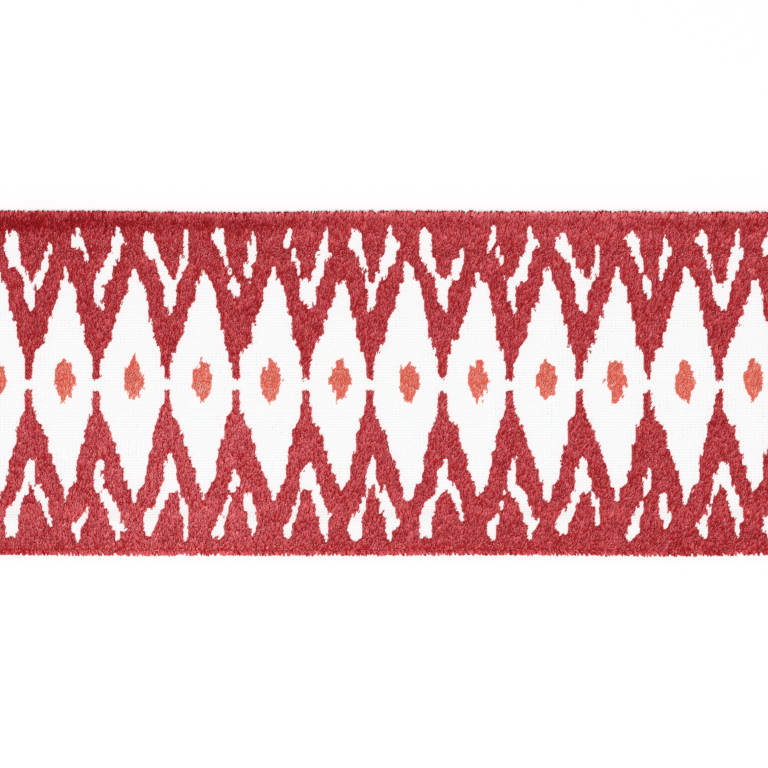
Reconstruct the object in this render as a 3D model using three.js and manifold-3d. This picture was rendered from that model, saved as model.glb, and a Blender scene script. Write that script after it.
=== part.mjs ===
// A cut length of ikat velvet tape trim, lying face up: a linen ground whose long edges are turned
// under, with a velvet pile left standing in rows of points, with slits in them and spots between
// them. Millimetres, +Z up, X along the tape, Y across it. The origin is on the surface that the
// tape lies on, under its middle.

import * as THREE from "three";
import { mergeVertices } from "three/addons/utils/BufferGeometryUtils.js";
import Module from "manifold-3d";

const wasm = await Module();
wasm.setup();

// Driving dimensions of the cloth
const TAPE_LENGTH = 300; // the cut length
const TAPE_WIDTH = 90; // over the pile, edge to edge
const GROUND = 0.8; // thickness of the linen ground
const PILE = 1.2; // how far the pile stands above the ground
const EDGE_PILE = 0.8; // how far it stands out sideways where it goes over a turned edge
const ROOT = 0.2; // how deep it is woven into the ground
const HEM_WIDTH = 8; // how far each hem reaches in from the tape's edge
const HEM_GAP = 0.3; // air between the hem and the cloth that lies over it
const HEM_SLOPE = 5; // length over which the cloth comes down beside the hem
const FOLD_STEPS = 8; // straight steps round each turned edge
const PILE_END_STEP = 7; // the step at which the pile stops, on the underside
const STATIONS = 15; // straight steps along the tape

// Worked out from them
const HALF_LENGTH = TAPE_LENGTH / 2;
const HALF_WIDTH = TAPE_WIDTH / 2;
const FOLD_RADIUS = GROUND + HEM_GAP / 2; // outside of a turned edge
const FOLD_Y = HALF_WIDTH - EDGE_PILE - FOLD_RADIUS; // middle of its turn
const HEM_EDGE_Y = HALF_WIDTH - HEM_WIDTH;
const LIFT = GROUND + HEM_GAP; // how far the hem lifts the cloth over it
const SLOPE_FOOT_Y = HEM_EDGE_Y - HEM_SLOPE;

// Driving dimensions of the pattern. The points' tips face each other across a narrow gap, and
// heights are measured across the tape, outwards from the tips.
const PITCH = 18.1; // from one point to the next
const FIRST_X = -2.9; // place of the point nearest the middle
const FIRST_ROW = 5; // its row in the repeat
const MIRROR_Y = -0.3; // middle of the gap between the tips
const TIP_GAP = 2.6; // width of that gap
const BAND_HEIGHT = 28.6; // where the points join in one band, which runs out to the tape's edge
const SPOT_Y = 0.9; // middle of the spots, which stand between the points
const SPOT_HALF_WIDTH = 3.1;
const SPOT_HALF_HEIGHT = 6;
const SPOT_STEPS = 5; // straight steps round each half of a spot
const PATTERN_REACH = 9; // points on each side of the first one

// One row of an outline: at this height it reaches from one place along the tape to another,
// measured from the point's axis
const at = (height, from, to) => ({ height, from, to });

// A point, from its tip to the band
const POINT = [
  at(0.3, -0.6, 0.5),
  at(7.1, -1.5, 1.9),
  at(8.9, -2.5, 2.9),
  at(15.5, -3.8, 5.1),
  at(22.8, -5.0, 7.6),
  at(BAND_HEIGHT, -8.1, 9.2),
  at(BAND_HEIGHT + 1, -8.1, 9.2),
];

// The repeat is six points long. Each is shifted a little along the tape, and has its own slit: two
// arms that come in from the edge, and a stem in which they meet or nearly meet.
const REPEAT = [
  {
    shift: 0.2,
    left: [at(39.1, -6.0, -2.9), at(34.6, -6.6, -2.4), at(30.4, -3.7, -1.9), at(24.0, -1.8, 0.2)],
    right: [at(36.5, 4.9, 5.7), at(32.5, 4.0, 5.8), at(24.0, 0.6, 2.8)],
    stem: [at(25.0, -1.4, 1.6), at(20.5, -1.0, 1.6), at(17.3, 0.5, 0.9)],
  },
  {
    shift: -0.2,
    left: [at(39.6, -4.9, -4.1), at(36.2, -6.3, -3.7), at(30.4, -2.5, -1.7)],
    right: [at(39.6, 4.9, 5.9), at(36.2, 4.2, 8.0), at(34.0, 3.2, 6.3), at(25.0, -0.8, 2.6)],
    stem: [at(25.5, -0.9, 1.9), at(20.0, -0.4, 1.8), at(18.1, 0.6, 1.4)],
  },
  {
    shift: 0.1,
    left: [at(38.6, -5.5, -3.5), at(35.2, -6.4, -2.2), at(31.2, -5.0, -1.3), at(26.0, -2.2, 0.4)],
    right: [at(39.6, 4.6, 5.6), at(30.7, 3.7, 5.5), at(26.0, 2.4, 4.2)],
    stem: [at(27.0, -1.2, 3.4), at(19.4, -0.4, 2.0), at(17.6, 0.7, 1.3)],
  },
  {
    shift: 0.1,
    left: [at(39.1, -6.3, -2.9), at(36.5, -5.9, -2.7), at(32.5, -3.7, -1.9), at(26.5, -1.6, -0.6)],
    right: [at(38.6, 4.4, 5.4), at(33.6, 3.2, 6.0), at(27.0, 2.6, 4.2)],
    stem: [at(27.0, -1.3, -0.3), at(24.7, -1.4, 1.2), at(21.3, -0.8, 0.4)],
  },
  {
    shift: 0.5,
    left: [at(39.4, -5.0, -3.2), at(35.7, -6.3, -3.1), at(33.8, -4.2, -2.6), at(25.0, -1.7, -0.4)],
    right: [at(39.6, 4.5, 5.7), at(33.3, 3.2, 6.6), at(25.0, 1.1, 3.7)],
    stem: [at(25.7, -1.6, 3.4), at(22.6, -1.5, 2.9), at(18.6, 0.5, 1.5)],
  },
  {
    shift: -0.8,
    left: [at(39.1, -4.7, -1.9), at(36.2, -6.0, -1.8), at(31.2, -2.9, -1.1), at(24.5, -1.0, 0.0)],
    right: [at(39.6, 5.0, 6.0), at(34.6, 3.7, 7.9), at(29.6, 2.4, 5.8), at(24.5, 0.8, 2.4)],
    stem: [at(25.0, -1.1, 2.1), at(20.7, -0.8, 1.6), at(17.8, 0.5, 1.1)],
  },
];

// The long edges wander a little: each wave's length along the tape, size and start
const EDGE_WAVES = {
  far: [
    { length: 118, size: 0.15, start: 0.6 },
    { length: 71, size: 0.1, start: 2.1 },
  ],
  near: [
    { length: 96, size: 0.13, start: 3.9 },
    { length: 77, size: 0.1, start: 1.2 },
  ],
};

// How far a long edge lies outside its straight line
function edgeWander(x, side) {
  const waves = side > 0 ? EDGE_WAVES.far : EDGE_WAVES.near;
  return waves.reduce((sum, w) => sum + w.size * Math.sin((2 * Math.PI * x) / w.length + w.start), 0);
}

// Turns a closed geometry into a solid that can be joined and cut
function solidOf(geometry) {
  const bare = geometry.index ? geometry.toNonIndexed() : geometry.clone();
  bare.deleteAttribute("normal");
  bare.deleteAttribute("uv");
  const merged = mergeVertices(bare, 1e-5);
  return new wasm.Manifold(
    new wasm.Mesh({
      numProp: 3,
      vertProperties: new Float32Array(merged.attributes.position.array),
      triVerts: new Uint32Array(merged.index.array),
    }),
  );
}

// Turns a solid back into a geometry
function geometryOf(solid) {
  const { vertProperties, triVerts } = solid.getMesh();
  const geometry = new THREE.BufferGeometry();
  geometry.setAttribute("position", new THREE.BufferAttribute(vertProperties, 3));
  geometry.setIndex(new THREE.BufferAttribute(triVerts, 1));
  geometry.computeVertexNormals();
  return geometry;
}

// The middle of the cloth's thickness, as a line across the tape from the raw edge of the near hem,
// round its turned edge, over the face and round to the far hem. At each place, pile is how far the
// pile stands out, and is missing where there is none.
function clothLine() {
  const radius = (GROUND + HEM_GAP) / 2;
  const half = [
    { y: SLOPE_FOOT_Y, z: GROUND / 2, pile: PILE },
    { y: HEM_EDGE_Y, z: LIFT + GROUND / 2, pile: PILE },
  ];
  for (let step = 0; step <= FOLD_STEPS; step += 1) {
    const angle = Math.PI / 2 - (Math.PI * step) / FOLD_STEPS;
    const place = {
      y: FOLD_Y + radius * Math.cos(angle),
      z: FOLD_RADIUS + radius * Math.sin(angle),
    };
    if (step <= PILE_END_STEP) place.pile = pileOnFold(step);
    half.push(place);
  }
  half.push({ y: HEM_EDGE_Y, z: GROUND / 2 });
  const near = half.map((place) => ({ ...place, y: -place.y })).reverse();
  return [...near, ...half];
}

// How far the pile stands out at a step round a turned edge: it shortens from the face to the side of
// the turn, and from there to nothing on the underside, where it sinks just into the ground
function pileOnFold(step) {
  const sideStep = FOLD_STEPS / 2;
  if (step <= sideStep) return PILE + ((EDGE_PILE - PILE) * step) / sideStep;
  const left = (PILE_END_STEP - step) / (PILE_END_STEP - sideStep);
  return EDGE_PILE * left - ROOT / 4;
}

// The line at a distance to the left of another one, which is the face side of the cloth
function beside(line, distanceAt) {
  const normals = line.slice(1).map((next, i) => {
    const run = new THREE.Vector2(next.y - line[i].y, next.z - line[i].z).normalize();
    return new THREE.Vector2(-run.y, run.x);
  });
  return line.map((place, i) => {
    const before = normals[Math.max(0, i - 1)];
    const after = normals[Math.min(normals.length - 1, i)];
    const middle = before.clone().add(after).normalize();
    const distance = distanceAt(place) / middle.dot(after);
    return new THREE.Vector2(place.y + middle.x * distance, place.z + middle.y * distance);
  });
}

// A solid with one section from end to end of the tape, between two such lines
function alongTape(outer, inner) {
  const outline = [...inner, ...outer.toReversed()];
  if (THREE.ShapeUtils.area(outline) < 0) outline.reverse();
  const caps = THREE.ShapeUtils.triangulateShape(outline, []);
  const count = outline.length;
  const positions = [];
  const faces = [];
  for (let station = 0; station <= STATIONS; station += 1) {
    const x = (TAPE_LENGTH * station) / STATIONS - HALF_LENGTH;
    for (const point of outline) {
      const stretch = 1 + edgeWander(x, Math.sign(point.x)) / HALF_WIDTH;
      positions.push(x, point.x * stretch, point.y);
    }
  }
  for (let station = 0; station < STATIONS; station += 1) {
    for (let i = 0; i < count; i += 1) {
      const a = station * count + i;
      const b = station * count + ((i + 1) % count);
      faces.push(a, b, b + count, a, b + count, a + count);
    }
  }
  const last = STATIONS * count;
  for (const [a, b, c] of caps) {
    faces.push(a, c, b);
    faces.push(last + a, last + b, last + c);
  }
  const geometry = new THREE.BufferGeometry();
  geometry.setAttribute("position", new THREE.Float32BufferAttribute(positions, 3));
  geometry.setIndex(faces);
  return solidOf(geometry);
}

// An upright prism on an outline, taller than the tape
function upright(shape, curveSegments = 1) {
  const depth = 4 * (LIFT + GROUND + PILE);
  const geometry = new THREE.ExtrudeGeometry(shape, { depth, curveSegments, bevelEnabled: false });
  geometry.translate(0, 0, -depth / 2);
  return solidOf(geometry);
}

// A prism whose outline is given by rows, on one side of the gap between the tips
function prismOn(side, axis, rows) {
  const place = (along, height) => new THREE.Vector2(along, MIRROR_Y + side * (TIP_GAP / 2 + height));
  const right = rows.map(({ height, to }) => place(axis + to, height));
  const left = rows.map(({ height, from }) => place(axis + from, height));
  return upright(new THREE.Shape([...right, ...left.reverse()]));
}

// The row of the repeat for one point, and the place of its axis
function pointAt(index) {
  const count = REPEAT.length;
  const row = REPEAT[(((index + FIRST_ROW) % count) + count) % count];
  return { row, axis: FIRST_X + index * PITCH + row.shift };
}

// The band along one edge of the tape, before the points are joined to it
function band(side) {
  const half = HALF_LENGTH + PITCH;
  return prismOn(side, 0, [at(BAND_HEIGHT, -half, half), at(TAPE_WIDTH, -half, half)]);
}

function spot(index) {
  const x = FIRST_X + (index + 0.5) * PITCH;
  const shape = new THREE.Shape();
  shape.absellipse(x, SPOT_Y, SPOT_HALF_WIDTH, SPOT_HALF_HEIGHT, 0, 2 * Math.PI);
  return upright(shape, SPOT_STEPS);
}

// Where the pile stands, as one tall solid
function pilePattern() {
  let pattern = band(1).add(band(-1));
  const slits = [];
  for (let i = -PATTERN_REACH; i <= PATTERN_REACH; i += 1) {
    const { row, axis } = pointAt(i);
    for (const side of [1, -1]) {
      pattern = pattern.add(prismOn(side, axis, POINT));
      slits.push(...[row.left, row.right, row.stem].map((rows) => prismOn(side, axis, rows)));
    }
  }
  for (const slit of slits) pattern = pattern.subtract(slit);
  for (let i = -PATTERN_REACH; i < PATTERN_REACH; i += 1) pattern = pattern.add(spot(i));
  return pattern;
}

// The whole tape: ground and pile are woven as one cloth
function tape() {
  const line = clothLine();
  const ground = alongTape(
    beside(line, () => GROUND / 2),
    beside(line, () => -GROUND / 2),
  );
  const piled = line.filter((place) => place.pile !== undefined);
  const layer = alongTape(
    beside(piled, (place) => GROUND / 2 + place.pile),
    beside(piled, () => GROUND / 2 - ROOT),
  );
  const material = new THREE.MeshStandardMaterial({ color: 0xb7464b, roughness: 0.9, metalness: 0 });
  const mesh = new THREE.Mesh(geometryOf(ground.add(layer.intersect(pilePattern()))), material);
  mesh.name = "tape";
  return mesh;
}

const trim = new THREE.Group();
trim.add(tape());

export default trim;
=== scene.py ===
import math
import bpy
import numpy as np
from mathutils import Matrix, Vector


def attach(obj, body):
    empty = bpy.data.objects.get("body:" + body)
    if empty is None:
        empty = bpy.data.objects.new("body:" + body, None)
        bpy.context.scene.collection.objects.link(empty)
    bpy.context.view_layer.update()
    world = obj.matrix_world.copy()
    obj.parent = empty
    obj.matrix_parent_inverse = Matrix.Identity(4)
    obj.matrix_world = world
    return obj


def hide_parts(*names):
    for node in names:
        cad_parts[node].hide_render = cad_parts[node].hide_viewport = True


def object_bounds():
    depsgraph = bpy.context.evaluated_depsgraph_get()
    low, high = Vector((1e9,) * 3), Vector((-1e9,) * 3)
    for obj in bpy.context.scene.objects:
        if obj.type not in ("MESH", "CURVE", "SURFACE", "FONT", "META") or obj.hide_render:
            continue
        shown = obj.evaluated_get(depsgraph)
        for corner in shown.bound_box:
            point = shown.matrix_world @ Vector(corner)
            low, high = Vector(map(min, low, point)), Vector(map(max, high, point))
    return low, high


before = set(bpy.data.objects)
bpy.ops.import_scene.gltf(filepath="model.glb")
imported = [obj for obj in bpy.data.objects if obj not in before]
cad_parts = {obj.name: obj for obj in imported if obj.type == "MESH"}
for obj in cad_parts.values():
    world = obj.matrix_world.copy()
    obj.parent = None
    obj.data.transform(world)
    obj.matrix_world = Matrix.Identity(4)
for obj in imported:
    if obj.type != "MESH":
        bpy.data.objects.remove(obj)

# A cut length of ikat velvet tape trim, seen from straight above. All sizes are in metres.
mm = 0.001
cadLow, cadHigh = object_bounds()
dice = np.random.default_rng(41)

# The camera looks straight down on a stretch of the tape, which runs out of the picture at both ends
picture = dict(
    stretch=201.5 * mm,  # how much of the tape's length the picture takes in
    middleY=-0.13 * mm,
    level=2 * mm,  # the height above the surface at which that is measured
    lens=135,
    sensor=36,
    farthest=20,
    pixelFilter=1.3,
)
camera = bpy.data.objects.new("camera", bpy.data.cameras.new("camera"))
bpy.context.scene.collection.objects.link(camera)
camera.data.lens = picture["lens"]
camera.data.sensor_width = picture["sensor"]
cameraHeight = picture["level"] + picture["stretch"] * picture["lens"] / picture["sensor"]
camera.location = (0, picture["middleY"], cameraHeight)
camera.data.clip_end = picture["farthest"]
bpy.context.scene.camera = camera


# Node trees are written as sums on their sockets
class Wire:
    def __init__(self, tree, socket=None):
        self.tree = tree
        self.socket = socket

    def node(self, kind, settings=None, values=None, out=0):
        made = self.tree.nodes.new(kind)
        for name, value in (settings or {}).items():
            if name == "stops":
                self.setStops(made.color_ramp, value)
            else:
                setattr(made, name, value)
        for key, value in (values or {}).items():
            socket = pickSocket(made.inputs, key)
            if isinstance(value, Wire):
                self.tree.links.new(value.socket, socket)
            else:
                socket.default_value = value
        return Wire(self.tree, pickSocket(made.outputs, out) if made.outputs else None)

    def setStops(self, ramp, stops):
        while len(ramp.elements) < len(stops):
            ramp.elements.new(1)
        for element, (place, colour) in zip(ramp.elements, stops):
            element.position = place
            element.color = (*colour, 1)

    def other(self, key):
        return Wire(self.tree, pickSocket(self.socket.node.outputs, key))

    def sum(self, operation, a, b):
        return self.node("ShaderNodeMath", {"operation": operation}, {0: a, 1: b})

    def __add__(self, b):
        return self.sum("ADD", self, b)

    def __radd__(self, a):
        return self.sum("ADD", a, self)

    def __sub__(self, b):
        return self.sum("SUBTRACT", self, b)

    def __rsub__(self, a):
        return self.sum("SUBTRACT", a, self)

    def __mul__(self, b):
        return self.sum("MULTIPLY", self, b)

    def __rmul__(self, a):
        return self.sum("MULTIPLY", a, self)

    def __mod__(self, b):
        return self.sum("FLOORED_MODULO", self, b)

    def __pow__(self, b):
        return self.sum("POWER", self, b)

    def floor(self):
        return self.node("ShaderNodeMath", {"operation": "FLOOR"}, {0: self})


def pickSocket(sockets, key):
    if isinstance(key, int):
        return sockets[key]
    return next(s for s in sockets if s.name == key and s.enabled)


# The cloth. Its section is followed from the middle of the tape outwards: flat, up over the hem,
# round the turned edge and back under to the hem's raw edge.
cloth = dict(
    length=cadHigh.x - cadLow.x,
    halfWidth=45 * mm,
    ground=0.8 * mm,
    edgePile=0.8 * mm,
    hemWidth=8 * mm,
    hemGap=0.3 * mm,
    hemSlope=5 * mm,
    column=1.05 * mm,  # from one column of tufts to the next, along the tape
    row=0.72 * mm,  # from one row to the next, across it
    fineness=0.05 * mm,  # steps in which the section is followed
    farWaves=[(118 * mm, 0.15 * mm, 0.6), (71 * mm, 0.1 * mm, 2.1)],  # length, size, start
    nearWaves=[(96 * mm, 0.13 * mm, 3.9), (77 * mm, 0.1 * mm, 1.2)],
)


def halfSection():
    lift = cloth["ground"] + cloth["hemGap"]
    low = cloth["ground"] / 2
    turn = lift / 2
    foldRadius = cloth["ground"] + cloth["hemGap"] / 2
    foldY = cloth["halfWidth"] - cloth["edgePile"] - foldRadius
    hemY = cloth["halfWidth"] - cloth["hemWidth"]
    footY = hemY - cloth["hemSlope"]
    fine = cloth["fineness"]
    flat = np.arange(0, footY, fine)
    rise = np.arange(footY, hemY, fine)
    climb = (rise - footY) / cloth["hemSlope"]
    over = np.arange(hemY, foldY, fine)
    angle = np.arange(math.pi / 2, -math.pi / 2, -fine / turn)
    under = np.arange(foldY, hemY, -fine)
    y = np.concatenate([flat, rise, over, foldY + turn * np.cos(angle), under])
    z = np.concatenate([
        np.full_like(flat, low),
        low + lift * climb**2 * (3 - 2 * climb),
        np.full_like(over, low + lift),
        foldRadius + turn * np.sin(angle),
        np.full_like(under, low),
    ])
    return y, z


sectionY, sectionZ = halfSection()
sectionRun = np.concatenate([[0], np.cumsum(np.hypot(np.diff(sectionY), np.diff(sectionZ)))])
sectionSlopeY = np.gradient(sectionY, sectionRun)
sectionSlopeZ = np.gradient(sectionZ, sectionRun)
halfRun = sectionRun[-1]


# Where the cloth's middle layer is at a distance across the tape, and which way its face looks there
def across(run):
    side = np.where(run < 0, -1, 1)
    at = np.abs(run)
    y = np.interp(at, sectionRun, sectionY) * side
    z = np.interp(at, sectionRun, sectionZ)
    faceY = -np.interp(at, sectionRun, sectionSlopeZ) * side
    faceZ = np.interp(at, sectionRun, sectionSlopeY)
    size = np.hypot(faceY, faceZ)
    return y, z, faceY / size, faceZ / size


# The long edges wander a little, and the cloth between them is pulled along
def wandered(x, y):
    def wave(rows):
        return sum(size * np.sin(2 * np.pi * x / length + start) for length, size, start in rows)

    reach = np.where(y > 0, wave(cloth["farWaves"]), wave(cloth["nearWaves"]))
    return y * (1 + reach / cloth["halfWidth"])


# The pattern, charted in millimetres. Heights are measured outwards from the tips of the points, and
# every row of a shape says where it reaches from and to, along the tape from the point's axis.
pattern = dict(
    pitch=18.1 * mm,
    firstX=-2.9 * mm,
    firstRow=5,
    mirrorY=-0.3 * mm,
    tipGap=2.6 * mm,
    spotY=0.9 * mm,
    spotShift=0.5 * mm,
    swell=0.13 * mm,  # the pile spreads this far over its outlines
    slitHeights=[30 * mm, 36 * mm],  # and it closes in more on the slits' outer ends
    slitSwells=[0.7, 2.0],
    columnSlip=0.45 * mm,  # how far one column's threads have slipped along themselves
    edgeSlip=0.45 * mm,  # and how far their single edges stray from that
    tipHeights=[0, 4 * mm],  # the points' tips have kept their shape better
    tipSlips=[0.4, 1],
    spotSlip=1.1,
    blockLength=3.6 * mm,  # a stretch of one thread that has slipped as one
    tied=0.7,  # the share of columns whose two threads took the dye as one
)
point = [
    (0, -0.7, 0.7), (1.6, -0.85, 0.85), (3.7, -1.1, 1.0), (6.8, -1.4, 1.7), (8.9, -2.6, 2.9),
    (11.5, -3.3, 4.2), (14.0, -3.5, 4.6), (15.5, -3.9, 5.2), (18.1, -4.7, 6.1), (22.8, -5.2, 7.7),
    (25.2, -6.3, 8.4), (26.4, -7.3, 8.8), (28.9, -7.7, 9.2), (29.7, -8.3, 9.6),
]
repeat = [
    dict(
        shift=0.2,
        slits=[
            [(38.8, -6.0, -2.9), (34.6, -6.6, -2.4), (31.2, -5.5, -2.1), (29.1, -3.7, -1.8),
             (27.8, -2.6, -0.5), (25.2, -1.8, 0.3)],
            [(35.2, 4.7, 6.0), (32.5, 3.9, 5.8), (29.9, 2.9, 5.0), (27.3, 1.8, 4.2), (24.7, 0.8, 2.9)],
            [(25.2, -1.5, 1.6), (21.0, -1.0, 1.6), (18.4, 0.3, 1.3), (17.4, 0.6, 0.9)],
        ],
    ),
    dict(
        shift=-0.2,
        slits=[
            [(39.6, -4.9, -4.0), (37.3, -6.0, -3.8), (36.2, -6.6, -3.2), (34.9, -6.3, -2.8),
             (34.4, -4.7, -2.6), (32.5, -3.4, -1.8), (30.4, -2.3, -1.6)],
            [(28.1, -1.7, -1.2), (26.2, -1.6, -0.8)],
            [(39.6, 4.8, 6.1), (36.9, 4.4, 6.3), (36.4, 4.3, 8.4), (35.3, 3.9, 7.6), (34.1, 3.4, 6.3),
             (32.0, 3.2, 6.1), (29.9, 1.8, 4.7), (27.3, 0.5, 4.5), (25.7, -0.8, 2.4)],
            [(26.2, -0.8, 1.5), (23.1, -0.8, 1.8), (21.0, -0.3, 1.5), (18.9, 0.3, 2.1), (18.1, 0.8, 1.8)],
        ],
    ),
    dict(
        shift=0.1,
        slits=[
            [(38.3, -5.5, -3.4), (36.2, -6.6, -2.6), (33.6, -6.0, -1.8), (32.0, -5.0, -1.4),
             (31.0, -2.7, -1.1), (28.9, -2.4, -0.3), (26.8, -1.8, 2.0)],
            [(39.6, 4.7, 5.5), (36.7, 4.5, 5.8), (33.6, 4.2, 5.8), (31.0, 3.7, 5.5), (28.3, 3.0, 4.7),
             (26.2, 2.4, 3.7)],
            [(26.8, -1.8, 3.9), (24.7, -1.1, 2.9), (22.0, -1.1, 2.4), (19.4, -0.5, 2.1), (17.6, 0.8, 1.3)],
        ],
    ),
    dict(
        shift=0.1,
        slits=[
            [(38.8, -6.2, -2.9), (37.3, -6.5, -2.7), (35.2, -5.2, -2.4), (32.5, -3.7, -1.8),
             (29.9, -2.6, -1.5), (27.8, -1.6, -0.8)],
            [(38.3, 4.4, 5.3), (36.2, 3.4, 5.2), (33.6, 3.1, 6.0), (31.5, 2.7, 5.2), (28.9, 2.4, 4.5),
             (27.3, 2.7, 4.2)],
            [(27.3, -1.4, -0.4), (25.2, -1.6, 1.0), (23.1, -1.1, 1.0), (21.3, -0.6, 0.4)],
        ],
    ),
    dict(
        shift=0.5,
        slits=[
            [(39.1, -5.0, -3.1), (37.3, -5.8, -3.0), (35.4, -6.3, -3.0), (34.4, -4.2, -2.7),
             (33.1, -3.9, -2.6), (30.4, -2.9, -1.6), (27.8, -2.2, -1.2), (25.7, -1.6, -0.5)],
            [(39.6, 4.4, 5.9), (36.2, 3.9, 5.8), (33.1, 3.1, 6.7), (30.4, 2.4, 5.3), (27.8, 1.9, 4.4),
             (25.2, 1.3, 3.6)],
            [(25.7, -1.6, 3.5), (22.6, -1.6, 2.9), (20.5, -0.5, 2.6), (18.9, 0.5, 1.6)],
        ],
    ),
    dict(
        shift=-0.8,
        slits=[
            [(39.1, -4.5, -2.0), (36.2, -6.1, -1.8), (34.1, -5.0, -1.6), (31.5, -2.9, -1.1),
             (29.4, -2.1, -1.0), (27.3, -1.1, -0.5), (25.2, -1.1, 0.0)],
            [(39.6, 5.0, 6.1), (37.3, 4.0, 6.5), (34.6, 3.9, 8.1), (32.5, 3.4, 7.1), (29.9, 2.4, 6.0),
             (27.8, 2.0, 4.5), (25.7, 1.3, 3.0), (24.5, 0.5, 2.1)],
            [(25.2, -1.1, 2.1), (22.0, -0.8, 1.6), (19.4, -0.5, 1.6), (17.8, 0.5, 1.0)],
        ],
    ),
]
# Half heights of a spot, outwards from its axis
spot = [(0, 5.8), (0.8, 5.0), (1.6, 4.0), (2.3, 2.4), (2.7, 0.8), (2.9, 0)]


# Whether places at these heights and distances from the axis lie inside a charted shape
def inside(rows, height, along, swell):
    rows = np.array(sorted(rows)) * mm
    low = np.interp(height, rows[:, 0], rows[:, 1]) - swell
    high = np.interp(height, rows[:, 0], rows[:, 2]) + swell
    return (height >= rows[0, 0]) & (height <= rows[-1, 0]) & (along >= low) & (along <= high)


# The numbers of the repeats, counted from the tape's middle past both of its ends
repeatReach = math.ceil(cloth["length"] / pattern["pitch"] / 2) + 1
repeatNumbers = range(-repeatReach, repeatReach + 1)


# Where the red pile stands: in the points and the edge bands, but not in the slits
def redAt(x, height):
    red = height > point[-1][0] * mm
    bare = np.zeros_like(red)
    squeeze = np.interp(height, pattern["slitHeights"], pattern["slitSwells"])
    for index in repeatNumbers:
        row = repeat[(index + pattern["firstRow"]) % len(repeat)]
        along = x - pattern["firstX"] - index * pattern["pitch"] - row["shift"] * mm
        red |= inside(point, height, along, pattern["swell"])
        for slit in row["slits"]:
            bare |= inside(slit, height, along, -squeeze * pattern["swell"])
    return red & ~bare


def coralAt(x, y, slip):
    coral = np.zeros(x.shape, bool)
    rows = np.array(spot) * mm
    for index in repeatNumbers:
        middle = pattern["firstX"] + (index + 0.5) * pattern["pitch"] + pattern["spotShift"]
        half = np.interp(np.abs(x - middle), rows[:, 0], rows[:, 1], right=0)
        coral |= np.abs(y - pattern["spotY"]) < half + slip * pattern["spotSlip"] * (half > 0)
    return coral


# The tufts stand in columns across the tape. A column's dyed stretches have slipped along it a little,
# each half for itself, and their single ends stray further.
columnCount = round(cloth["length"] / cloth["column"])
rowCount = 2 * round(halfRun / cloth["row"])
columnEdges = np.linspace(cadLow.x, cadHigh.x, columnCount + 1)
rowEdges = np.linspace(-halfRun, halfRun, rowCount + 1)
columnX = (columnEdges[:-1] + columnEdges[1:]) / 2
threadCount = columnCount * 2
threadEdges = np.linspace(cadLow.x, cadHigh.x, threadCount + 1)
threadX = (threadEdges[:-1] + threadEdges[1:]) / 2
backStep = (4, 2)  # cells of the face in one cell of the back, along the tape and across it
tied = dice.random(columnCount) < pattern["tied"]
dyedX = np.where(np.repeat(tied, 2), np.repeat(columnX, 2), threadX)  # where a thread takes the pattern
blockCount = math.ceil(2 * cloth["halfWidth"] / pattern["blockLength"]) + 2
columnSlip = dice.normal(0, pattern["columnSlip"], (columnCount, 2))
edgeSlip = dice.normal(0, pattern["edgeSlip"], (threadCount, blockCount))


def threadAt(x):
    place = (x - cadLow.x) / cloth["length"] * threadCount
    return np.clip(place.astype(int), 0, threadCount - 1)


def slipAt(x, y):
    thread = threadAt(x)
    block = ((y + cloth["halfWidth"]) / pattern["blockLength"] + 1).astype(int)
    half = (y > pattern["mirrorY"]).astype(int)
    return columnSlip[thread // 2, half] + edgeSlip[thread, np.clip(block, 0, blockCount - 1)]


def redOver(x, y):
    height = np.abs(y - pattern["mirrorY"]) - pattern["tipGap"] / 2
    calm = np.interp(height, pattern["tipHeights"], pattern["tipSlips"])
    return redAt(dyedX[threadAt(x)], height + calm * slipAt(x, y))


def coralOver(x, y):
    return coralAt(dyedX[threadAt(x)], y, slipAt(x, y))


# Soft clouds of about a given size: waves of several lengths and directions on top of each other
def softNoise(x, y, size, seed, waves=9):
    chance = np.random.default_rng(seed)
    total = np.zeros_like(x)
    for _ in range(waves):
        angle = chance.uniform(0, np.pi)
        length = size * chance.uniform(0.7, 1.6)
        start = chance.uniform(0, 2 * np.pi)
        total += np.sin(2 * np.pi * (x * np.cos(angle) + y * np.sin(angle)) / length + start)
    return total / math.sqrt(waves)


# Grid meshes and attributes
def meshFrom(name, points, faces):
    mesh = bpy.data.meshes.new(name)
    mesh.from_pydata([tuple(p) for p in points], [], [tuple(f) for f in faces])
    mesh.update()
    return mesh


def setAttribute(mesh, name, kind, domain, values):
    attribute = mesh.attributes.new(name, kind, domain)
    field = "value" if kind == "FLOAT" else "vector"
    attribute.data.foreach_set(field, np.ascontiguousarray(values, dtype=np.float32).ravel())


def addPiece(name, mesh, material):
    piece = bpy.data.objects.new(name, mesh)
    bpy.context.scene.collection.objects.link(piece)
    if not mesh.materials:
        mesh.materials.append(material)
    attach(piece, "root")
    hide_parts("tape")
    return piece


def newMaterial(name, constants):
    material = bpy.data.materials.new(name)
    material.use_nodes = True
    tree = material.node_tree
    shader = tree.nodes["Principled BSDF"]
    for key, value in constants.items():
        shader.inputs[key].default_value = value
    return material, Wire(tree), shader


def feed(wire, shader, key):
    wire.tree.links.new(wire.socket, shader.inputs[key])


def mixColour(wire, amount, a, b):
    values = {"Factor": amount, "A": a, "B": b}
    return wire.node("ShaderNodeMix", {"data_type": "RGBA"}, values, "Result")


# Sharpens a mask that fades over the width of a whole cell
def stepUp(mask):
    return mask.node("ShaderNodeMapRange", values={"Value": mask, "From Min": 0.6, "From Max": 0.8})


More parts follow.
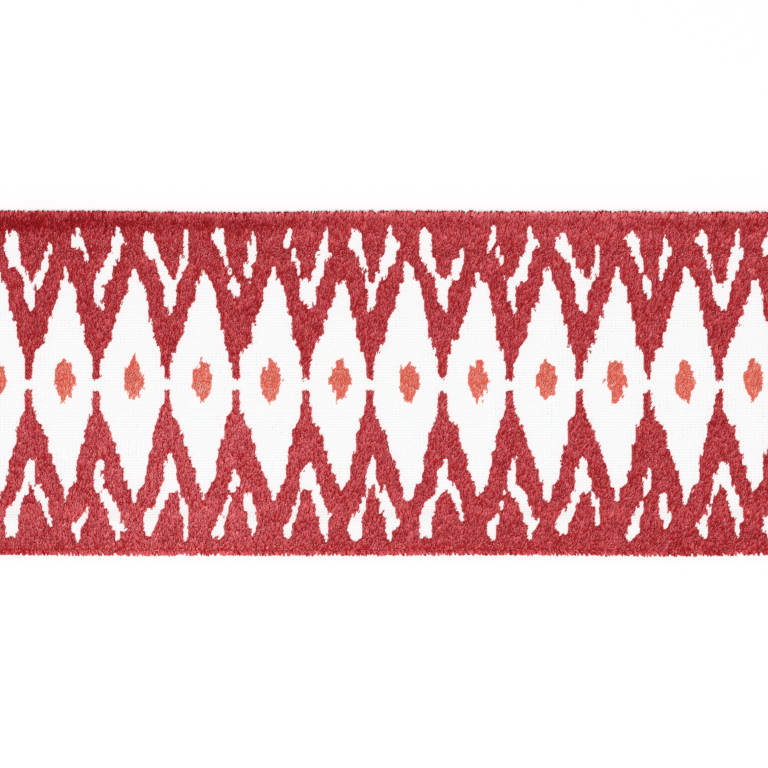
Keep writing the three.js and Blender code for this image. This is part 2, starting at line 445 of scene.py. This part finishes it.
# The ground weave: warp threads run along the tape and weft threads across it, over and under
weave = dict(
    white=(0.89, 0.899, 0.9, 1),
    # painted shade seen in the gaps where the threads cross
    holeShade=(0.3, 0.31, 0.33, 1),
    # the ground under the pile: the pile's dye, painted darker with the shade under the pile
    dyed=(0.42, 0.012, 0.018, 1),
    dyedCoral=(0.7, 0.12, 0.08, 1),
    backTint=0.55,  # how much of the dye shows on the back
    depth=0.1 * mm,
    crown=0.4,  # how much a thread sinks towards where it goes under the next
    fuzz=0.5,
    fuzzScale=3,
    holeEdge=4,  # a higher power makes the holes smaller
    relief=0.6,
)


def makeGroundMaterial():
    material, wire, shader = newMaterial("linenGround", {"Roughness": 0.9, "Specular IOR Level": 0.2})
    place = wire.node("ShaderNodeAttribute", {"attribute_name": "weave"}, out="Vector")
    split = wire.node("ShaderNodeSeparateXYZ", values={0: place})
    along = split
    acrossTape = split.other(1)
    u = along % 1 * 2 - 1
    v = acrossTape % 1 * 2 - 1
    over = (along.floor() + acrossTape.floor()) % 2
    roundWarp = (1 - v * v) * (1 - weave["crown"] * u * u)
    roundWeft = (1 - u * u) * (1 - weave["crown"] * v * v)
    height = over * roundWarp + (1 - over) * roundWeft
    fuzz = {"Vector": place, "Scale": weave["fuzzScale"], "Detail": 3}
    height = height + weave["fuzz"] * wire.node("ShaderNodeTexNoise", values=fuzz)
    holes = wire.node("ShaderNodeAttribute", {"attribute_name": "holes"}, out="Fac")
    # painted shade in the gaps at the threads' crossings
    gap = ((1 - roundWarp) * (1 - roundWeft)) ** weave["holeEdge"]
    white = mixColour(wire, gap * holes, weave["white"], weave["holeShade"])
    dyed = wire.node("ShaderNodeAttribute", {"attribute_name": "dyed"}, out="Fac")
    coral = wire.node("ShaderNodeAttribute", {"attribute_name": "dyedCoral"}, out="Fac")
    # the pile's dye on the ground, painted darker as shade under the pile
    colour = mixColour(wire, stepUp(dyed), white, weave["dyed"])
    colour = mixColour(wire, stepUp(coral), colour, weave["dyedCoral"])
    relief = {"Strength": weave["relief"], "Distance": weave["depth"], "Height": height}
    feed(colour, shader, "Base Color")
    feed(wire.node("ShaderNodeBump", values=relief), shader, "Normal")
    return material


# How much painted shade darkens the gaps where the weave's threads cross: hardly any, more in some
# patches, and most in a few places of their own, many of them beside the tips of the points
holeShadeSpread = dict(
    slight=0.07,
    slightShare=0.7,
    patchy=0.9,
    patchyShare=0.4,
    patchSize=9 * mm,
    patchSeed=21,
    patchEdge=0.3,  # the clouds' level at which a patch begins
    loneShare=0.02,
    loneShareAtTips=0.5,
    tipReach=(3 * mm, 0.4 * mm),  # along the tape and across it
)


def holeShadeAt(x, run):
    clouds = softNoise(x, run, holeShadeSpread["patchSize"], holeShadeSpread["patchSeed"])
    patch = np.clip(clouds - holeShadeSpread["patchEdge"], 0, 1)
    chance = 1 - dice.random(x.shape)
    along = (x - pattern["firstX"]) / pattern["pitch"]
    axis = np.abs(along - np.round(along)) * pattern["pitch"]
    level = np.abs(np.abs(run - pattern["mirrorY"]) - pattern["tipGap"] / 2)
    nearTip = (axis < holeShadeSpread["tipReach"][0]) & (level < holeShadeSpread["tipReach"][1])
    lone = chance < np.where(nearTip, holeShadeSpread["loneShareAtTips"], holeShadeSpread["loneShare"])
    slight = holeShadeSpread["slight"] * (chance < holeShadeSpread["slightShare"])
    return slight + holeShadeSpread["patchy"] * patch * (chance < holeShadeSpread["patchyShare"]) + lone


# The share of the cell round each corner that is dyed, from nine places in it
def dyedShare(coverAt, x, y):
    steps = (-0.33, 0, 0.33)
    thread = cloth["column"] / 2
    places = [coverAt(x + a * thread, y + b * cloth["row"]) for a in steps for b in steps]
    return np.mean(places, axis=0)


# The sheet is a closed shell: a fine net for the face with the pile on, a coarse one for the back, and
# a wall along each cut edge, where one cell of the back meets several of the face. The lower half of
# the map is the face's, and the upper half the back's.
def makeGround():
    edges = [(threadEdges, rowEdges), (threadEdges[::backStep[0]], rowEdges[::backStep[1]])]
    points, places, maps, holes, dyes = [], [], [], [], {"dyed": [], "dyedCoral": []}
    for way, (edgeX, edgeRun) in zip((1, -1), edges):
        x, run = (axis.ravel() for axis in np.meshgrid(edgeX, edgeRun, indexing="ij"))
        y, z, aimY, aimZ = across(run)
        half = way * cloth["ground"] / 2
        points.append(np.stack([x, wandered(x, y + half * aimY), z + half * aimZ], -1))
        places.append(np.stack([x / cloth["column"], run / cloth["row"], 0 * x], -1))
        maps.append(np.stack([x / cloth["length"] + 0.5, (run / halfRun + 1) / 4 + (way < 0) / 2], -1))
        holes.append(holeShadeAt(x, run))
        for name, coverAt in (("dyed", redOver), ("dyedCoral", coralOver)):
            dyes[name].append(dyedShare(coverAt, x, y) * (1 if way > 0 else weave["backTint"]))

    def corners(level):
        countX, countRun = (len(edge) for edge in edges[level])
        return np.arange(countX * countRun).reshape(countX, countRun) + level * len(points[0])

    face, back = corners(0), corners(1)
    quads = [(face[:-1, :-1], face[1:, :-1], face[1:, 1:], face[:-1, 1:])]
    quads.append((back[:-1, :-1], back[:-1, 1:], back[1:, 1:], back[1:, :-1]))
    faces = [tuple(quad) for four in quads for quad in np.stack(four, -1).reshape(-1, 4).tolist()]

    def wall(fine, coarse, step, turned):
        for cell in range(len(coarse) - 1):
            ring = list(fine[cell * step:(cell + 1) * step + 1]) + [coarse[cell + 1], coarse[cell]]
            faces.append(tuple(int(i) for i in (ring[::-1] if turned else ring)))

    wall(face[0], back[0], backStep[1], False)
    wall(face[-1], back[-1], backStep[1], True)
    wall(face[:, 0], back[:, 0], backStep[0], True)
    wall(face[:, -1], back[:, -1], backStep[0], False)
    mesh = meshFrom("ground", np.concatenate(points), faces)
    setAttribute(mesh, "weave", "FLOAT_VECTOR", "POINT", np.concatenate(places))
    setAttribute(mesh, "holes", "FLOAT", "POINT", np.concatenate(holes))
    for name, shares in dyes.items():
        setAttribute(mesh, name, "FLOAT", "POINT", np.concatenate(shares))
    loops = np.empty(len(mesh.loops), int)
    mesh.loops.foreach_get("vertex_index", loops)
    layer = mesh.uv_layers.new(name="OFBake")
    layer.uv.foreach_set("vector", np.concatenate(maps)[loops].astype(np.float32).ravel())
    mesh.shade_smooth()
    return addPiece("groundWeave", mesh, makeGroundMaterial())


ground = makeGround()
print("ground weave", len(ground.data.polygons))

# The pile. Strands stand side by side in every column of dyed tufts. Their feet are placed here, and
# the node tree below stands a strand on each foot.
pile = dict(
    spacing=0.36 * mm,  # from one strand to the next along a thread
    scatter=0.1 * mm,
    lean=(0.2, 0.22),  # how much single strands lean their own way
    lay=(0.2, 0.6),  # which way the whole pile leans, for its height
    fan=(0.2, 0.1),  # and how far the strands at an outline lean outwards
    leastLay=0.2,
    reach=0.7 * mm,
    facing=[-0.7, 0, 0.3, 0.5, 0.8, 1],  # from where the cloth faces down to where it faces up
    tall=[0.3, 1.15, 1.15, 0.9, 1.05, 1.2],  # and the pile's height there in millimetres
    uneven=0.05,
    unevenSize=5 * mm,
    unevenSeed=12,
    inside=0.5,  # the share of strands that stand inside the outlines
    rim=0.7 * mm,  # along the outlines all of them stand, thinner and shorter
    rimTall=0.75,
    rimStray=(0.3, 0.5),
    rimWidth=0.6,
    rimEnd=42 * mm,
    hiddenFoot=0.5,  # the part of a strand that may stand outside the outline
    turned=0.5,  # past this much of a turn, round the long edges, strands are wider
    turnedWidth=1.35,
    ragged=0.14 * mm,  # how far a single strand may miss its outline
    clear=0.06 * mm,  # kept free inside the outline, for the strands' own thickness
    endTaper=0.6,  # how pointed a column's end is
    teeth=340,  # the long edges' pile parts into teeth
    toothWidth=1.05 * mm,
    toothStray=0.25 * mm,
    toothLimits=(0.6 * mm, 1.8 * mm),
    toothLead=3 * mm,
    toothPull=0.3,
    toothDip=0.25,  # how much shorter the strands are between the teeth
    toothShape=5,
    turnedAway=0.7,  # how far the cloth has turned down where the pile ends
    sunk=0.15 * mm,
    lowest=0.1 * mm,
    pieceStrands=24000,
)
strandThickness = (0.8, 1.2)  # from the thinnest strand to the thickest
strand = {
    "Foot radius": 0.33 * mm,
    "Tip radius": 0.15 * mm,
    "Uneven": 0.1,
    "Mottle": 0.22,
    "Seed": 7,
}
outerRun = np.concatenate([[0], np.cumsum(np.hypot(
    np.diff(sectionY - sectionSlopeZ * cloth["ground"] / 2),
    np.diff(sectionZ + sectionSlopeY * cloth["ground"] / 2),
))])
pileLimit = np.interp(pile["turnedAway"], -sectionSlopeY, outerRun)


# Whether a place lies inside the outline of a dyed part, with room to spare for a strand's thickness
def covered(coverAt, x, y):
    middle = threadX[threadAt(x)]
    taper = pile["clear"] + pile["endTaper"] * np.abs(x - middle)
    inner = coverAt(x, y + taper) & coverAt(x, y - taper)
    return inner & coverAt(x - pile["clear"], y) & coverAt(x + pile["clear"], y)


# Whether a place and all round it are dyed, so that no outline is near
def surrounded(coverAt, x, y):
    room = pile["rim"]
    beside = coverAt(x - room, y) & coverAt(x + room, y)
    return beside & coverAt(x, y - room) & coverAt(x, y + room)


# Which way a strand leans out over a near outline
def outward(coverAt, x, y):
    reach = pile["reach"]
    fanX = coverAt(x - reach, y).astype(float) - coverAt(x + reach, y)
    fanY = coverAt(x, y - reach).astype(float) - coverAt(x, y + reach)
    return fanX * pile["fan"][0], fanY * pile["fan"][1]


toothSteps = dice.normal(pile["toothWidth"], pile["toothStray"], pile["teeth"])
toothEdges = cadLow.x - pile["toothLead"] + np.cumsum(np.clip(toothSteps, *pile["toothLimits"]))


# Where a place along a long edge lies in its tooth, from -1 to 1
def toothPlace(x):
    index = np.clip(np.searchsorted(toothEdges, x), 1, len(toothEdges) - 1)
    low, high = toothEdges[index - 1], toothEdges[index]
    return (x - (low + high) / 2) / (high - low) * 2


# How light or dark a strand is painted, from 0 to 1: painted shade and light by the tape's halves and
# round its long edges, painted highlights, painted shade where turned under, stretches along the tape and
# random clouds. Each list of places is in millimetres, with what a strand is painted lighter by at each of
# them.
tone = dict(
    # painted shade: the far half is painted darker than the near half, as the light falls on the pile
    farHalf=0.47,
    nearHalf=0.58,
    # painted shade and light round the turned long edges: darker bands where the pile parts over the fold,
    # lighter strands on the fold
    farEdge=([30, 34, 39, 41, 42, 43, 43.6, 44.5], [0, 0.06, 0.05, -0.05, -0.09, -0.07, 0.07, 0.12]),
    nearEdge=([37, 41, 42.5, 43.3, 44, 44.5], [0, -0.02, -0.02, 0.09, 0.09, -0.01]),
    farAlong=([-95, -60, -12, 15, 60, 90], [-0.25, -0.14, 0.02, 0.08, 0.07, -0.02]),
    farAlongShare=([37, 41], [0.1, 1]),  # and how much of that reaches in from the far edge
    nearAlong=([-95, -63, -38, -12, 12, 60, 95], [0, 0.09, 0.1, -0.02, -0.05, -0.08, -0.13]),
    clouds=[(1.8 * mm, 0.065, 5), (7 * mm, 0.045, 6), (60 * mm, 0.02, 8)],  # size, depth, seed
    # painted highlights: a few strands are painted much lighter, as glints of light on the pile
    glintShare=0.008,
    glint=0.45,
    turned=0.65,  # past this much of a turn, round the long edges, strands are painted darker: painted shade on the side turned under
    turnedUnderShade=(0.7, 0.25),  # at the far edge and at the near one
)


def toneAt(x, y, turned):
    along, edge = x / mm, np.abs(y) / mm
    far = tone["farHalf"] + np.interp(edge, *tone["farEdge"])
    far += np.interp(along, *tone["farAlong"]) * np.interp(edge, *tone["farAlongShare"])
    near = tone["nearHalf"] + np.interp(edge, *tone["nearEdge"]) + np.interp(along, *tone["nearAlong"])
    shade = np.where(y > 0, far, near)
    for size, depth, seed in tone["clouds"]:
        shade += depth * softNoise(x, y, size, seed)
    # painted highlights on a few strands
    shade += tone["glint"] * (dice.random(x.shape) < tone["glintShare"])
    # painted shade on the strands turned under the long edges
    return shade - (turned > tone["turned"]) * np.where(y > 0, *tone["turnedUnderShade"])


def placeFeet(coverAt):
    step = cloth["length"] / threadCount
    rows = np.arange(pile["spacing"] / 4, pileLimit, pile["spacing"] / 2)
    x, outer = np.meshgrid(threadX, np.concatenate([-rows[::-1], rows]), indexing="ij")
    x = x + dice.uniform(-0.5, 0.5, x.shape) * step
    outer = outer + dice.normal(0, pile["scatter"], x.shape)
    run = np.interp(np.abs(outer), outerRun, sectionRun) * np.sign(outer)
    y, z, aimY, aimZ = across(run)
    rim = ~surrounded(coverAt, x, y) & (np.abs(y) < pile["rimEnd"])
    turned = np.clip(1 - aimZ, 0, 1)
    tooth = toothPlace(x) * turned

    tall = np.interp(aimZ, pile["facing"], pile["tall"]) * mm
    tall = tall * (1 + pile["uneven"] * softNoise(x, y, pile["unevenSize"], pile["unevenSeed"]))
    tall = tall * np.where(rim, pile["rimTall"], 1)
    tall = tall * (1 - pile["toothDip"] * np.abs(tooth) ** pile["toothShape"])
    width = np.where(rim, pile["rimWidth"], np.where(turned > pile["turned"], pile["turnedWidth"], 1))

    fanX, fanRun = outward(coverAt, x, y)
    strayX, strayRun = (
        dice.normal(0, lean, x.shape) * np.where(rim, less, 1)
        for lean, less in zip(pile["lean"], pile["rimStray"])
    )
    fanX = fanX + pile["lay"][0] + strayX - tooth * pile["toothPull"]
    fanRun = fanRun + (pile["lay"][1] + strayRun) * np.clip(aimZ, pile["leastLay"], 1)
    aim = np.stack([fanX, aimY + fanRun * aimZ, aimZ - fanRun * aimY], -1)
    aim = aim / np.linalg.norm(aim, axis=-1, keepdims=True)
    out = cloth["ground"] / 2 - pile["sunk"]
    foot = np.stack([x, y + aimY * out, z + aimZ * out], -1)
    tip = foot + aim * (tall + pile["sunk"])[..., None]
    low = foot + (tip - foot) * pile["hiddenFoot"]

    missX, missY = dice.normal(0, pile["ragged"], (2, *x.shape))
    kept = covered(coverAt, low[..., 0] + missX, low[..., 1] + missY)
    kept &= covered(coverAt, tip[..., 0] + missX, tip[..., 1] + missY)
    kept &= (tip[..., 2] > pile["lowest"]) & (np.abs(x) < cadHigh.x)
    kept &= rim | (dice.random(x.shape) < pile["inside"])
    foot[..., 1] = wandered(x, foot[..., 1])
    order = np.argsort(run[kept], kind="stable")
    feet = dict(
        foot=foot,
        aim=aim,
        tall=tall + pile["sunk"],
        width=width,
        tone=toneAt(tip[..., 0], tip[..., 1], turned),
    )
    return {key: values[kept][order] for key, values in feet.items()}


# Stands a strand on every foot: one small cone for all, turned, leaned and sized by the foot's attributes
def strandTree():
    tree = bpy.data.node_groups.new("standStrands", "GeometryNodeTree")

    def socket(name, kind, way="INPUT"):
        tree.interface.new_socket(name, in_out=way, socket_type="NodeSocket" + kind)

    socket("Geometry", "Geometry", "OUTPUT")
    socket("Geometry", "Geometry")
    for name in strand:
        socket(name, "Int" if name == "Seed" else "Float")
    socket("Material", "Material")
    wire = Wire(tree)
    given = wire.node("NodeGroupInput")

    def attribute(name, kind):
        return wire.node("GeometryNodeInputNamedAttribute", {"data_type": kind}, {"Name": name})

    def chance(low, high, offset, kind="FLOAT"):
        seed = given.other("Seed") + offset
        values = {"Min": low, "Max": high, "Seed": seed}
        return wire.node("FunctionNodeRandomValue", {"data_type": kind}, values, "Value")

    def store(geometry, name, kind, domain, value):
        values = {"Geometry": geometry, "Name": name, "Value": value}
        return wire.node("GeometryNodeStoreNamedAttribute", {"data_type": kind, "domain": domain}, values)

    feet = wire.node("GeometryNodeMeshToPoints", {"mode": "VERTICES"}, {"Mesh": given})
    one = wire.node("GeometryNodeMeshCone", {"fill_type": "NGON"}, {
        "Vertices": 3, "Radius Top": given.other("Tip radius"),
        "Radius Bottom": given.other("Foot radius"), "Depth": 1.0,
    })
    place = wire.node("GeometryNodeInputPosition")
    up = wire.node("ShaderNodeSeparateXYZ", values={0: place}).other("Z")
    one = store(one, "tip", "FLOAT", "POINT", up)

    aim = attribute("aim", "FLOAT_VECTOR")
    stood = wire.node("FunctionNodeAlignRotationToVector", {"axis": "Z"}, {"Vector": aim})
    turn = wire.node("ShaderNodeCombineXYZ", values={"Z": chance(0.0, 2 * math.pi, 1)})
    turn = wire.node("FunctionNodeEulerToRotation", values={0: turn})
    turned = wire.node("FunctionNodeRotateRotation", {"rotation_space": "LOCAL"}, {0: stood, 1: turn})
    tall = attribute("tall", "FLOAT") * (1 + given.other("Uneven") * chance(-1.0, 1.0, 2))
    thick = attribute("width", "FLOAT") * chance(*strandThickness, 3)
    size = wire.node("ShaderNodeCombineXYZ", values={"X": thick, "Y": thick, "Z": tall})
    stand = wire.node("GeometryNodeInstanceOnPoints", values={
        "Points": feet, "Instance": one, "Rotation": turned, "Scale": size,
    })
    shade = attribute("tone", "FLOAT") + given.other("Mottle") * chance(-1.0, 1.0, 4)
    stand = store(stand, "shade", "FLOAT", "INSTANCE", shade)
    plain = wire.node("GeometryNodeRealizeInstances", values={0: stand})
    place = {"X": attribute("shade", "FLOAT"), "Y": attribute("tip", "FLOAT")}
    plain = store(plain, "OFBake", "FLOAT2", "CORNER", wire.node("ShaderNodeCombineXYZ", values=place))
    dressed = {"Geometry": plain, "Material": given.other("Material")}
    wire.node("NodeGroupOutput", values={"Geometry": wire.node("GeometryNodeSetMaterial", values=dressed)})
    return tree


standStrands = strandTree()


def standPile(name, feet, first, last, material):
    part = {key: values[first:last] for key, values in feet.items()}
    mesh = meshFrom(name + "Feet", part["foot"], [])
    setAttribute(mesh, "aim", "FLOAT_VECTOR", "POINT", part["aim"])
    for key in ("tall", "width", "tone"):
        setAttribute(mesh, key, "FLOAT", "POINT", part[key])
    carrier = bpy.data.objects.new(name + "Feet", mesh)
    bpy.context.scene.collection.objects.link(carrier)
    modifier = carrier.modifiers.new("strands", "NODES")
    modifier.node_group = standStrands
    given = {**strand, "Material": material}
    for item in standStrands.interface.items_tree:
        if item.in_out == "INPUT" and item.name in given:
            modifier[item.identifier] = given[item.name]
    graph = bpy.context.evaluated_depsgraph_get()
    grown = bpy.data.meshes.new_from_object(carrier.evaluated_get(graph))
    bpy.data.objects.remove(carrier)
    grown.name = name
    print(name, len(part["foot"]), "strands", len(grown.polygons), "faces")
    return addPiece(name, grown, material)


# The pile's colours: each ramp runs from painted shade at its dark end, through the thread's own colour,
# to painted highlights at its light end
dyeAndPaintedLight = dict(
    red=[
        (0, (0.41, 0.012, 0.018)), (0.12, (0.52, 0.027, 0.035)), (0.5, (0.775, 0.128, 0.148)),
        (0.75, (0.87, 0.222, 0.243)), (1, (1.0, 0.385, 0.41)),
    ],
    coral=[(0, (0.9, 0.2, 0.14)), (0.5, (0.93, 0.33, 0.255)), (1, (1.0, 0.64, 0.54))],
    undyed=[(0, (0.7, 0.71, 0.71)), (1, (0.93, 0.935, 0.935))],
    paintedFootShade=0.25,  # painted shade: how much darker a strand is painted at its foot, down between the strands
)


def makePileMaterial(name, stops):
    material, wire, shader = newMaterial(name, {"Roughness": 0.8, "Specular IOR Level": 0.05})
    shade = wire.node("ShaderNodeAttribute", {"attribute_name": "shade"}, out="Fac")
    tip = wire.node("ShaderNodeAttribute", {"attribute_name": "tip"}, out="Fac")
    # painted shade: each strand is painted darker towards its foot
    shade = shade - dyeAndPaintedLight["paintedFootShade"] * (1 - tip)
    colour = wire.node("ShaderNodeValToRGB", {"stops": stops}, {0: shade})
    feed(colour, shader, "Base Color")
    return material


redPile = makePileMaterial("redSilkPile", dyeAndPaintedLight["red"])
coralPile = makePileMaterial("coralSilkPile", dyeAndPaintedLight["coral"])
redFeet = placeFeet(redOver)
coralFeet = placeFeet(coralOver)
strandCount = len(redFeet["foot"])
parts = math.ceil(strandCount / pile["pieceStrands"])
cuts = [round(strandCount * part / parts) for part in range(parts + 1)]
pilePieces = [
    standPile(f"redPile{part + 1}", redFeet, cuts[part], cuts[part + 1], redPile)
    for part in range(parts)
]
pilePieces.append(standPile("coralPile", coralFeet, 0, len(coralFeet["foot"]), coralPile))

# The threads along the tape are cut off at both ends, and their ends stick out a little
thrums = dict(
    tall=(0.5 * mm, 1.3 * mm),
    stray=(0.3, 0.12),  # across the tape and up
    leastUp=-0.05,
    width=0.7,
    sunk=0.4 * mm,
    tone=0.6,
)


def placeThrums():
    rows = (rowEdges[:-1] + rowEdges[1:]) / 2
    run = np.tile(rows, 2)
    side = np.repeat([-1, 1], len(rows))
    y, z, _, _ = across(run)
    x = side * (cloth["length"] / 2 - thrums["sunk"])
    strayY, strayZ = (dice.normal(0, stray, run.shape) for stray in thrums["stray"])
    aim = np.stack([side, strayY, np.maximum(strayZ, thrums["leastUp"])], -1)
    return dict(
        foot=np.stack([x, wandered(x, y), z], -1),
        aim=aim / np.linalg.norm(aim, axis=-1, keepdims=True),
        tall=dice.uniform(*thrums["tall"], run.shape) + thrums["sunk"],
        width=np.full(run.shape, thrums["width"]),
        tone=np.full(run.shape, thrums["tone"]),
    )


endFeet = placeThrums()
undyedThread = makePileMaterial("undyedThread", dyeAndPaintedLight["undyed"])
cutThreads = standPile("cutThreads", endFeet, 0, len(endFeet["foot"]), undyedThread)

# The floor and the light
studio = dict(
    floorHalf=4,
    floorDrop=0.05 * mm,
    floorColour=(0.9, 0.9, 0.9, 1),
    floorGlow=0.035,
    skyLight=0.3,
    lampPlace=(-0.05, -0.25, 2.3),
    lampSize=1.2,
    lampPower=45.5,
)


def makeStudio():
    low, high = -studio["floorHalf"], studio["floorHalf"]
    corners = [(low, low), (high, low), (high, high), (low, high)]
    mesh = meshFrom("floor", [(x, y, -studio["floorDrop"]) for x, y in corners], [(0, 1, 2, 3)])
    material, _, shader = newMaterial("floorPaper", {"Roughness": 0.9, "Specular IOR Level": 0.1})
    shader.inputs["Base Color"].default_value = studio["floorColour"]
    shader.inputs["Emission Color"].default_value = (1, 1, 1, 1)
    shader.inputs["Emission Strength"].default_value = studio["floorGlow"]
    mesh.materials.append(material)
    floor = bpy.data.objects.new("floor", mesh)
    bpy.context.scene.collection.objects.link(floor)
    world = bpy.data.worlds.new("studio")
    bpy.context.scene.world = world
    world.use_nodes = True
    sky = world.node_tree.nodes["Background"]
    sky.inputs["Color"].default_value = (1, 1, 1, 1)
    sky.inputs["Strength"].default_value = studio["skyLight"]
    lamp = bpy.data.objects.new("softLamp", bpy.data.lights.new("softLamp", "AREA"))
    lamp.data.size = studio["lampSize"]
    lamp.data.energy = studio["lampPower"]
    lamp.location = studio["lampPlace"]
    aim = -np.array(studio["lampPlace"])  # at the tape's middle
    lamp.rotation_euler = (math.atan2(math.hypot(aim[0], aim[1]), -aim[2]), 0, math.atan2(-aim[0], aim[1]))
    bpy.context.scene.collection.objects.link(lamp)
    return floor


floor = makeStudio()
bpy.context.scene.view_settings.view_transform = "Standard"
bpy.context.scene.cycles.use_denoising = False  # it would wipe out the pile's grain
bpy.context.scene.cycles.filter_width = picture["pixelFilter"]
